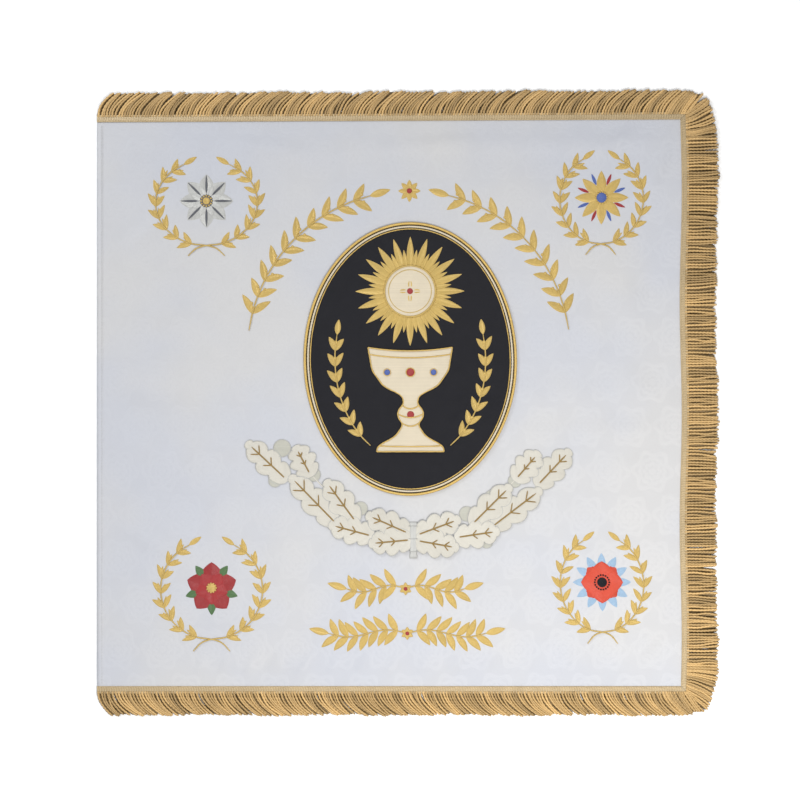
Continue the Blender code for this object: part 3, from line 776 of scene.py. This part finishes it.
def fringe(name, node, length, to_cloth, leaning, seed):
    """A row of twisted cords over a flatter row, dropping from the heading onto the surface."""
    chance = np.random.default_rng(seed)
    pile = Pile()
    rows = (
        (UNDER_PITCH, UNDER_RADIUS, UNDER_FLAT, 16, 6, 0.0, 0.95),
        (CORD_PITCH, CORD_RADIUS, 1.0, CORD_SECTIONS, CORD_SIDES, CORD_LOBES, 1.0),
    )
    for pitch, cord_radius, flat, sections, sides, lobes, length_share in rows:
        share = np.linspace(0, 1, sections)
        for k, at in enumerate(fringe_roots(length, pitch, leaning, chance)):
            reach, shift, curl = cord_manners(at, length, leaning, chance)
            reach, shift = reach * length_share, shift * length_share
            sideways, outward = lock_path(share, reach, shift, curl)
            wave = chance.uniform(-0.0011, 0.0011) * np.sin(share * math.pi * chance.uniform(1.0, 2.6))
            root = 0.004 * (1 - share)
            u, v = to_cloth(at + sideways + wave, HEADING_PROUD - root + outward)
            over = 0.0 if flat < 1 else 0.001 + (k % 3) * 0.0005
            rest = cord_radius * flat * (1 + lobes) + over
            drop = 0.5 + 0.5 * np.cos(math.pi * np.clip(share / 0.42, 0, 1))
            z = rest + (0.0031 - rest) * drop if flat == 1 else np.full(sections, rest)
            radius = tapered(cord_radius, sections, start=1.0, end=0.45)
            clump = 0.12 * math.sin(at / LOCK_PITCH * 2.3 + 0.8)
            # Painted shade: the under row is near black, standing for the shade beneath the upper cords.
            tone = 0.02 if flat < 1 else 0.5 + clump + chance.uniform(-0.25, 0.25)
            line = stack(u, v, z)
            tube(pile, line, radius, 0, tone, sides=sides, turn=CORD_TURN, lobes=lobes, flat=flat)
    obj = pile.build(name, [FRINGE], on_cloth=False)
    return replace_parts(obj, node)


def heading(name, length, to_cloth, mitred_start, mitred_end):
    """The woven tape: two corded edges with a ribbed band between them."""
    step = 0.0014
    count = int(length / step)
    share = np.linspace(0, 1, count)[:, None]
    across = np.linspace(0, 1, 13)[None, :]
    d = HEADING_PROUD - across * HEADING_WIDTH
    mitre = across * HEADING_WIDTH - HEADING_PROUD + 0.0003
    first = mitre if mitred_start else 0 * across
    last = length - (mitre if mitred_end else 0 * across)
    s = first + (last - first) * share
    rib = np.abs(np.sin(math.pi * (s + 0.35 * np.abs(across - 0.5) * HEADING_WIDTH) / 0.0043))
    edge = np.exp(-(((across - 0.09) / 0.06) ** 2)) + np.exp(-(((across - 0.91) / 0.06) ** 2))
    profile = np.clip(np.minimum(across, 1 - across) / 0.04, 0, 1)
    z = CLOTH_THICKNESS + 0.0002 + profile * (0.0012 + 0.0004 * edge + 0.0009 * rib)
    u, v = to_cloth(s, d + 0 * s)
    points = stack(u, v, z)
    threads = stack(0 * s + across * 2, s)
    pile = Pile()
    # Painted shade and highlight: the tape is darker between its ribs and lighter on them.
    pile.grid(points, threads, 0.25 + 0.5 * rib)
    start_gap = 0.003 if mitred_start else 0.0006
    end_gap = 0.003 if mitred_end else 0.0006
    for at in (0.0012, HEADING_WIDTH - 0.0012):
        line_s = np.arange(start_gap, length - end_gap, 0.0011)
        if at > HEADING_WIDTH / 2:
            inset = HEADING_WIDTH - 0.002
            low = inset if mitred_start else 0
            high = length - (inset if mitred_end else 0)
            line_s = line_s[(line_s > low) & (line_s < high)]
        line_u, line_v = to_cloth(line_s, np.full(len(line_s), HEADING_PROUD - at))
        line = stack(line_u, line_v, np.full(len(line_s), CLOTH_THICKNESS + 0.0018))
        tube(pile, line, 0.00085, 0, 0.7, sides=7, turn=0.0052, lobes=0.25)
    obj = pile.build(name, [HEADING], on_cloth=False)
    return obj


def fringes():
    sides = (
        ("top", CLOTH_WIDTH, lambda s, d: (LEFT + s, TOP + d), True, False, True, 3),
        ("bottom", CLOTH_WIDTH, lambda s, d: (LEFT + s, BOTTOM - d), True, False, True, 5),
        ("fly", CLOTH_HEIGHT, lambda s, d: (RIGHT + d, BOTTOM + s), False, True, True, 8),
    )
    made = []
    for name, length, to_cloth, leaning, start, end, seed in sides:
        made.append(fringe("cords_" + name, "fringe_" + name, length, to_cloth, leaning, seed))
        made.append(heading("heading_" + name, length, to_cloth, start, end))
    return made


# Embroidery


def stitched(pile, node, materials):
    """Makes the stitched piece that takes a node's place."""
    obj = pile.build(node + "_stitched", materials)
    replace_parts(obj, node)


def berries(pile, stem, centre, share, offset, radius, rise, tone, rings, sides):
    """Two berries at each gap of a stem that bends round a centre."""
    for here, ahead in zip(stem[:-1], stem[1:]):
        middle = [(1 - share) * a + share * b for a, b in zip(here, ahead)]
        out = math.atan2(middle[1] - centre[1], middle[0] - centre[0])
        for reach in (-offset, offset):
            disc(pile, polar(middle, reach, out), radius, FIRST_LAYER, rise, tone, 0, rings, sides)


def leafy_stem(pile, points, leaf_size, spread_deg, chance, first_pair=1, height=FIRST_LAYER, doubled=False):
    """A stem with a pair of leaves at each inner point, from the first pair's, and one at its end."""
    line = smooth_line(points, 60)
    radius = tapered(STEM_RADIUS, 60, 0.6, 0.5)
    tube(pile, line, radius, height + 0.0006, 0.4, turn=0.005, lobes=0.12)
    for here, ahead in zip(points[first_pair:-1], points[first_pair + 1:]):
        course = math.atan2(ahead[1] - here[1], ahead[0] - here[0])
        for side in (-1, 1):
            size = tuple(length * chance.uniform(0.94, 1.05) for length in leaf_size)
            angle = course + side * math.radians(spread_deg + chance.uniform(-5, 5))
            tone = chance.uniform(0.35, 0.85)
            satin_leaf(pile, here, angle, size, tone, height=height, bend=-0.12 * side)
            if doubled and chance.uniform() < 0.75:
                small = (size[0] * chance.uniform(0.72, 0.86), size[1] * 0.72)
                beside = angle - side * math.radians(chance.uniform(17, 24))
                satin_leaf(pile, here, beside, small, 1.1 - tone, height=height - 0.0002, bend=0.1 * side)
    end, before = points[-1], points[-2]
    angle = math.atan2(end[1] - before[1], end[0] - before[0])
    satin_leaf(pile, end, angle, leaf_size, 0.7, height=height)


def wreaths():
    for k, (name, u, v, half_width, half_height) in enumerate(WREATHS):
        chance = np.random.default_rng(20 + k)
        pile = Pile()
        points = [(u + across * half_width, v + up * half_height) for across, up in WREATH_TAIL]
        far_deg = 90 + WREATH_GAP_DEG
        points += list(ring_line((u, v), half_width, half_height, WREATH_STATIONS + 1, 270, far_deg))
        leafy_stem(pile, points, WREATH_LEAF, WREATH_SPREAD_DEG, chance, len(WREATH_TAIL) + 1, doubled=True)
        berries(pile, points[-3:], (u, v), 0.5, 0.0052, 0.0021, 0.0014, 0.8, 4, 10)
        mirror_grid(pile, 0, u)
        stitched(pile, name, [GOLD])


def oak_half_width(s):
    """Share of an oak leaf's half width at a share of its length: three round lobes and a tip."""
    envelope = np.sin(math.pi * np.clip(s, 0, 1) ** 0.75) ** 0.45
    lobes = np.abs(np.sin(math.pi * (s + 0.03) / OAK_LOBE_LENGTH)) ** 0.55
    return envelope * (0.58 + 0.42 * lobes)


def oak_leaf(pile, base, tip, tone, height):
    """A lobed leaf of pale satin stitch with a grey outline and brown forked veins."""
    run = np.subtract(tip, base)
    rib = float(np.hypot(*run))
    length = OAK_BEFORE_RIB + rib + OAK_PAST_RIB
    angle = math.atan2(run[1], run[0])
    s = (0.5 - 0.5 * np.cos(math.pi * np.linspace(0, 1, 89)))[:, None]
    t = np.linspace(-1, 1, 13)[None, :]
    half = OAK_HALF_WIDTH * oak_half_width(s) + 0.0003
    ends = np.clip(np.minimum(s, 1 - s) / 0.12, 0, 1)
    x = s * length - OAK_BEFORE_RIB + OAK_SWEEP * (half * t**2 - 0.3 * half) * ends
    y = t * half
    crown = dome(t) ** 0.6
    u, v = turned(x, y, base, angle)
    points = stack(u, v, height - 0.0004 + 0.0013 * crown + 0 * x)
    threads = stack(y, x - 0.9 * np.abs(y))
    pile.grid(points, threads, tone, 0)
    for column in (0, -1):
        edge = stack(u[:, column], v[:, column])
        tube(pile, edge, 0.0006, height + 0.0002, 0.7, 1, sides=6)
    top = height + 0.001
    rib_u, rib_v = turned(np.linspace(0.0, 0.98, 16) * rib, np.zeros(16), base, angle)
    tube(pile, stack(rib_u, rib_v), tapered(0.0014, 16, 0.8), top, 0.5, 2, sides=6)
    for along, reach in ((0.38, 0.19), (0.74, 0.2)):
        for turn in (-0.75, 0.75):
            out = np.linspace(0, reach * rib, 7)
            vein_x = along * rib + out * math.cos(turn)
            vein_u, vein_v = turned(vein_x, out * math.sin(turn), base, angle)
            line = stack(vein_u, vein_v)
            tube(pile, line, tapered(0.0011, 7, 0.9), top, 0.5, 2, sides=6)


def garland():
    """Two sprays of oak leaves."""
    chance = np.random.default_rng(31)
    centre = np.array(GARLAND_CENTRE)
    sprays = (
        ("oak_spray_hoist", HOIST_LEAVES, HOIST_BRANCHES, HOIST_BACKS),
        ("oak_spray_fly", FLY_LEAVES, FLY_BRANCHES, FLY_BACKS),
    )
    for name, leaves, branches, backs in sprays:
        pile = Pile()
        for branch in branches:
            line = smooth_line(np.array(branch) + centre, 40)
            tube(pile, line, tapered(0.0012, 40, 0.8), FIRST_LAYER, 0.4, 0)
        for u, v, radius in backs:
            place = centre + (u, v)
            disc(pile, place, radius, FIRST_LAYER, 0.0009, 0.5, 3, 8, 32)
            tube(pile, ring_line(place, radius, radius, 48), 0.0007, FIRST_LAYER + 0.0002, 0.5, 1, sides=6)
        for k, (base_u, base_v, tip_u, tip_v) in enumerate(leaves):
            base, tip = centre + (base_u, base_v), centre + (tip_u, tip_v)
            oak_leaf(pile, base, tip, chance.uniform(0.35, 0.75), FIRST_LAYER + 0.00035 * (k + 1))
        stitched(pile, name, [WHITE, GREY, BROWN, TURNED])


def tie():
    """The silver band that holds the sprays, with three cords round it."""
    centre = GARLAND_CENTRE
    width, height = TIE_SIZE
    pile = Pile()
    s = np.linspace(-1, 1, 25)[:, None]
    t = np.linspace(-1, 1, 9)[None, :]
    x = centre[0] + t * width / 2 * (1 - 0.14 * np.cos(s * 9) ** 2)
    y = centre[1] + s * height / 2 + 0 * t
    crown = dome(t) ** 0.6 * np.clip((1 - np.abs(s)) / 0.08, 0, 1) ** 0.5
    points = stack(x, y, FIRST_LAYER + 0.004 * crown)
    pile.grid(points, stack(y, x), 0.6, 0)
    for at in (-0.31, 0.04, 0.38):
        line_u = centre[0] + np.linspace(-0.5, 0.5, 9) * width
        line = stack(line_u, np.full(9, centre[1] + at * height))
        tube(pile, line, 0.0007, 0.0044, 0.5, 1, sides=6)
    stitched(pile, "garland_tie", [SILVER, GREY])


def medallion():
    """Black satin ground with a border of two gold cords and a cream one between them."""
    u, v = MEDALLION_CENTRE
    half_u, half_v = MEDALLION_HALF
    pile = Pile()
    share = np.concatenate([np.linspace(0.02, 0.93, 24), [0.96, 0.985, 1.0]])[:, None]
    turns = np.linspace(0, math.tau, 120, endpoint=False)[None, :]
    x = u + share * half_u * np.cos(turns)
    y = v + share * half_v * np.sin(turns)
    rim = np.clip((1 - share) / 0.04, 0, 1) ** 0.5
    points = stack(x, y, FIRST_LAYER - 0.0003 + 0.001 * rim + 0 * turns)
    pile.grid(points, stack(x, y), 0.5, 0, wrap=True)
    for inset, radius, slot, turn in BORDER_CORDS:
        line = ring_line((u, v), half_u + inset, half_v + inset, BORDER_POINTS)
        tube(pile, line, radius, 0.0012 + radius * 0.4, 0.6, slot, sides=7, turn=turn, lobes=0.17)
    obj = pile.build("medallion_stitched", [BLACK, GOLD_CORD, CREAM])
    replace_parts(obj, "medallion_ground")


def glory():
    """Gold rays in two lengths round the host."""
    u, v = MEDALLION_CENTRE
    centre = (u, v + HOST_V)
    outer, inner = GLORY_RADII
    chance = np.random.default_rng(44)
    pile = Pile()
    for i in range(GLORY_RAYS * 2):
        angle = math.pi / 2 + math.pi * i / GLORY_RAYS
        reach = outer if i % 2 == 0 else inner + 0.012
        start = HOST_RADIUS * 0.86
        base = polar(centre, start, angle)
        size = (reach - start, 0.0125 if i % 2 == 0 else 0.0075)
        satin_leaf(pile, base, angle, size, chance.uniform(0.5, 0.85), 0, SECOND_LAYER - 0.0004, 0.0014)
    stitched(pile, "glory_rays", [GOLD])


def host():
    """The cream host with a gold edge and a small cross of leaves."""
    u, v = MEDALLION_CENTRE
    centre = (u, v + HOST_V)
    pile = Pile()
    disc(pile, centre, HOST_RADIUS, SECOND_LAYER, 0.0016, 0.6, 0, 14, 64)
    for radius, size in ((HOST_RADIUS, 0.0014), (HOST_RADIUS * 0.84, 0.0007)):
        tube(pile, ring_line(centre, radius, radius, 200), size, SECOND_LAYER + 0.0008, 0.6, **EDGING)
    arm = HOST_RADIUS * 0.52
    for quarter in range(4):
        satin_leaf(pile, centre, quarter * math.pi / 2, (arm, 0.011), 0.7, 1, SECOND_LAYER + 0.001, 0.0012)
    disc(pile, centre, 0.0052, SECOND_LAYER + 0.002, 0.0012, 0.7, 2, 5, 18)
    stitched(pile, "host_disc", [CREAM, GOLD, RED])


def chalice():
    """Cream satin cup, stem and foot, edged and banded in gold."""
    u, v = MEDALLION_CENTRE
    foot = v + CHALICE_FOOT_V
    table = np.array(CHALICE_PROFILE)
    heights = np.linspace(0, table[-1, 0], 97)
    half = np.interp(heights, table[:, 0], table[:, 1])
    soft = np.convolve(np.pad(half, 3, mode="edge"), np.ones(7) / 7, mode="valid")
    s = heights[:, None]
    t = np.linspace(-1, 1, 17)[None, :]
    x = u + t * soft[:, None]
    sag = 0.006 * (1 - t**2)
    y = foot + s - sag * np.clip(s / 0.05, 0, 1)
    crown = dome(t) ** 0.7
    ends = np.clip(np.minimum(s, table[-1, 0] - s) / 0.003, 0.1, 1) ** 0.5
    points = stack(x, y, SECOND_LAYER - 0.0003 + 0.0018 * crown * ends)
    pile = Pile()
    pile.grid(points, stack(x, y), 0.5, 0)
    for side in (-1, 1):
        edge = stack(u + side * soft, foot + heights)
        tube(pile, edge, 0.0011, SECOND_LAYER + 0.0004, 0.6, **EDGING)
    for at in (0.0, 0.01, 0.05, 0.065, 0.08, 0.168, 0.18):
        width = float(np.interp(at, heights, soft))
        across = np.linspace(-1, 1, 41)
        line_v = foot + at - 0.006 * (1 - across**2) * min(1, at / 0.05)
        height = SECOND_LAYER + 0.0003 + 0.0018 * dome(across)
        line = stack(u + across * width, line_v, height)
        tube(pile, line, 0.0011, 0, 0.65, **EDGING)
    for at, size, slot in ((-0.04, 0.0058, 3), (0.0, 0.0075, 2), (0.04, 0.0058, 3)):
        disc(pile, (u + at, foot + 0.141 - 0.004), size, SECOND_LAYER + 0.0016, 0.0014, 0.6, slot, 6, 22)
        ring = ring_line((u + at, foot + 0.137), size, size, 60)
        tube(pile, ring, 0.0008, SECOND_LAYER + 0.002, 0.7, 1, 6, 0.004, 0.17)
    disc(pile, (u, foot + 0.064), 0.0062, SECOND_LAYER + 0.0018, 0.0014, 0.6, 2, 6, 20)
    stitched(pile, "chalice", [CREAM, GOLD_CORD, RED, BLUE])


def sheaves():
    """Two leafy sheaves with grains, one up each side of the chalice."""
    count = SHEAF_STATIONS + 2
    points = ring_line(MEDALLION_CENTRE, *SHEAF_HALF, count, SHEAF_START_DEG, SHEAF_END_DEG)
    for name, mirror, seed in (("sheaf_hoist", False, 71), ("sheaf_fly", True, 72)):
        pile = Pile()
        chance = np.random.default_rng(seed)
        leafy_stem(pile, points, SHEAF_LEAF, SHEAF_SPREAD_DEG, chance, height=SECOND_LAYER)
        for here, ahead in zip(points[1:-1], points[2:]):
            middle = (0.5 * (here[0] + ahead[0]), 0.5 * (here[1] + ahead[1]))
            disc(pile, middle, 0.003, SECOND_LAYER + 0.0002, 0.0018, 0.85, 0, 5, 14)
        if mirror:
            pile.mirror(MEDALLION_CENTRE[0])
        stitched(pile, name, [GOLD])


def arch():
    """Two olive sprays and the star between their tips."""
    u, v = ARCH_CENTRE
    ends = (180 - ARCH_START_DEG, 180 - ARCH_END_DEG)
    points = ring_line(ARCH_CENTRE, ARCH_RADIUS, ARCH_RADIUS, ARCH_STATIONS + 2, *ends)
    for name, mirror, seed in (("arch_left", False, 51), ("arch_right", True, 52)):
        chance = np.random.default_rng(seed)
        pile = Pile()
        leafy_stem(pile, points, ARCH_LEAF, ARCH_SPREAD_DEG, chance)
        berries(pile, points[1:], ARCH_CENTRE, 0.55, 0.0065, 0.0027, 0.0016, 0.75, 5, 14)
        if mirror:
            pile.mirror(u)
        stitched(pile, name, [GOLD])
    pile = Pile()
    outer, inner = ARCH_STAR_RADII
    star_rays(pile, (u, v + ARCH_RADIUS), outer, inner, 8, 0.0085, 0)
    disc(pile, (u, v + ARCH_RADIUS), 0.0045, FIRST_LAYER + 0.001, 0.0014, 0.7, 1, 5, 16)
    stitched(pile, "arch_star", [GOLD, RED])


def star_rays(pile, centre, outer, inner, points, width, slot, tone=0.7):
    for i in range(points):
        angle = math.pi / 2 + math.tau * i / points
        base = polar(centre, inner * 0.2, angle)
        satin_leaf(pile, base, angle, (outer - inner * 0.2, width), tone, slot)


def bands():
    for k, (name, u, v, half_length, stations) in enumerate(BANDS):
        chance = np.random.default_rng(60 + k)
        steps = stations + 1
        points = []
        for i in range(steps + 1):
            share = i / steps
            points.append((u + share * half_length, v + BAND_WAVE * math.sin(share * math.tau)))
        pile = Pile()
        leafy_stem(pile, points, BAND_LEAF, BAND_SPREAD_DEG, chance)
        mirror_grid(pile, 0, u)
        for i in range(6):
            angle = math.pi / 2 + math.tau * i / 6
            satin_leaf(pile, (u, v), angle, (BAND_KNOT_RADIUS, 0.0068), 0.8, 0, FIRST_LAYER + 0.0004)
        disc(pile, (u, v), 0.0034, FIRST_LAYER + 0.0012, 0.0012, 0.6, 1, 5, 14)
        stitched(pile, name, [GOLD, RED])


def petal_ring(pile, centre, count, reach, width, start, slot, tone, height, turn_deg=0):
    """Leaves set out round a centre, at a height over the first layer."""
    for i in range(count):
        angle = math.radians(90 + turn_deg) + math.tau * i / count
        base = polar(centre, start, angle)
        satin_leaf(pile, base, angle, (reach - start, width), tone, slot, FIRST_LAYER + height)


def centre_knots(pile, centre, radius, count, slot, height):
    """Knots round a flower's heart, at a height over the first layer."""
    for i in range(count):
        at = polar(centre, radius, math.tau * i / count)
        disc(pile, at, 0.0017, FIRST_LAYER + height, 0.0014, 0.7, slot, 4, 9)


def rosette():
    centre = ROSETTE_CENTRE
    pile = Pile()
    petal_ring(pile, centre, 8, 0.046, 0.027, 0.006, 0, 0.55, 0.0)
    petal_ring(pile, centre, 8, 0.044, 0.003, 0.012, 2, 0.55, 0.0012)
    petal_ring(pile, centre, 8, 0.027, 0.012, 0.004, 0, 0.95, 0.001, 22.5)
    disc(pile, centre, 0.012, FIRST_LAYER + 0.0014, 0.001, 0.6, 2, 6, 28)
    disc(pile, centre, 0.0062, FIRST_LAYER + 0.0026, 0.0016, 0.6, 1, 6, 24)
    centre_knots(pile, centre, 0.009, 12, 1, 0.0022)
    stitched(pile, "emblem_rosette", [SILVER, GOLD, SLATE])


def star():
    centre = STAR_CENTRE
    pile = Pile()
    star_rays(pile, centre, 0.046, 0.016, 8, 0.0165, 0)
    for i in range(8):
        angle = math.pi / 2 + math.tau * (i + 0.5) / 8
        at = polar(centre, 0.024, angle)
        satin_leaf(pile, at, angle, (0.02, 0.0048), 0.6, 1 + i % 2, FIRST_LAYER)
    disc(pile, centre, 0.0088, FIRST_LAYER + 0.0012, 0.0018, 0.5, 1, 6, 24)
    centre_knots(pile, centre, 0.0098, 14, 0, 0.0012)
    stitched(pile, "emblem_star", [GOLD, BLUE, RED])


def rose():
    centre = ROSE_CENTRE
    pile = Pile()
    petal_ring(pile, centre, 5, 0.047, 0.015, 0.016, 2, 0.6, 0.0, 36)
    petal_ring(pile, centre, 5, 0.044, 0.0375, 0.002, 0, 0.35, 0.0003, 0)
    petal_ring(pile, centre, 5, 0.029, 0.025, 0.002, 0, 0.95, 0.0013, 36)
    disc(pile, centre, 0.0075, FIRST_LAYER + 0.0024, 0.0016, 0.6, 1, 6, 22)
    centre_knots(pile, centre, 0.0078, 11, 1, 0.0022)
    stitched(pile, "emblem_rose", [RED, GOLD, GREEN])


def poppy():
    centre = POPPY_CENTRE
    pile = Pile()
    petal_ring(pile, centre, 12, 0.05, 0.015, 0.02, 2, 0.7, -0.0003)
    petal_ring(pile, centre, 4, 0.035, 0.04, 0.0, 0, 0.3, 0.0004, 45)
    petal_ring(pile, centre, 4, 0.036, 0.038, 0.0, 0, 0.85, 0.0013, 0)
    disc(pile, centre, 0.0085, FIRST_LAYER + 0.0026, 0.002, 0.5, 1, 6, 24)
    centre_knots(pile, centre, 0.0125, 18, 1, 0.0022)
    stitched(pile, "emblem_poppy", [SCARLET, BLACK, SKY])


# Stage


def camera():
    data = bpy.data.cameras.new("camera")
    data.lens = LENS
    data.sensor_width = SENSOR
    obj = add("camera", data)
    width = IMAGE_SIDE * METRES_PER_PIXEL
    distance = width / 2 / (SENSOR / 2 / LENS)
    x = (IMAGE_SIDE / 2 - CENTRE_PIXEL[0]) * METRES_PER_PIXEL + SHIFT[0]
    y = (CENTRE_PIXEL[1] - IMAGE_SIDE / 2) * METRES_PER_PIXEL + SHIFT[1]
    obj.location = (x, y, distance + CLOTH_THICKNESS)
    bpy.context.scene.camera = obj


def area_light(name, place, target, size, power, colour):
    data = bpy.data.lights.new(name, "AREA")
    data.shape = "DISK"
    data.size = size
    data.energy = power
    data.color = colour
    obj = add(name, data)
    obj.location = place
    obj.rotation_mode = "QUATERNION"
    obj.rotation_quaternion = (Vector(target) - Vector(place)).to_track_quat("-Z", "Y")


def studio():
    world = bpy.data.worlds.new("studio")
    world.use_nodes = True
    background = world.node_tree.nodes["Background"]
    background.inputs[0].default_value = WORLD_COLOUR
    background.inputs[1].default_value = WORLD_STRENGTH
    bpy.context.scene.world = world
    bpy.context.scene.view_settings.view_transform = "Standard"
    for light in LIGHTS:
        area_light(*light)

    mesh = bpy.data.meshes.new("floor")
    corners = [(FLOOR_HALF * x, FLOOR_HALF * y, 0) for x, y in ((-1, -1), (1, -1), (1, 1), (-1, 1))]
    mesh.from_pydata(corners, [], [(0, 1, 2, 3)])
    mesh.materials.append(floor_material())
    floor = add("floor", mesh)


camera()
studio()
banner = cloth()
stitches = hem_stitches()
trims = fringes()
medallion()
glory()
host()
chalice()
sheaves()
garland()
tie()
wreaths()
rosette()
star()
rose()
poppy()
arch()
bands()
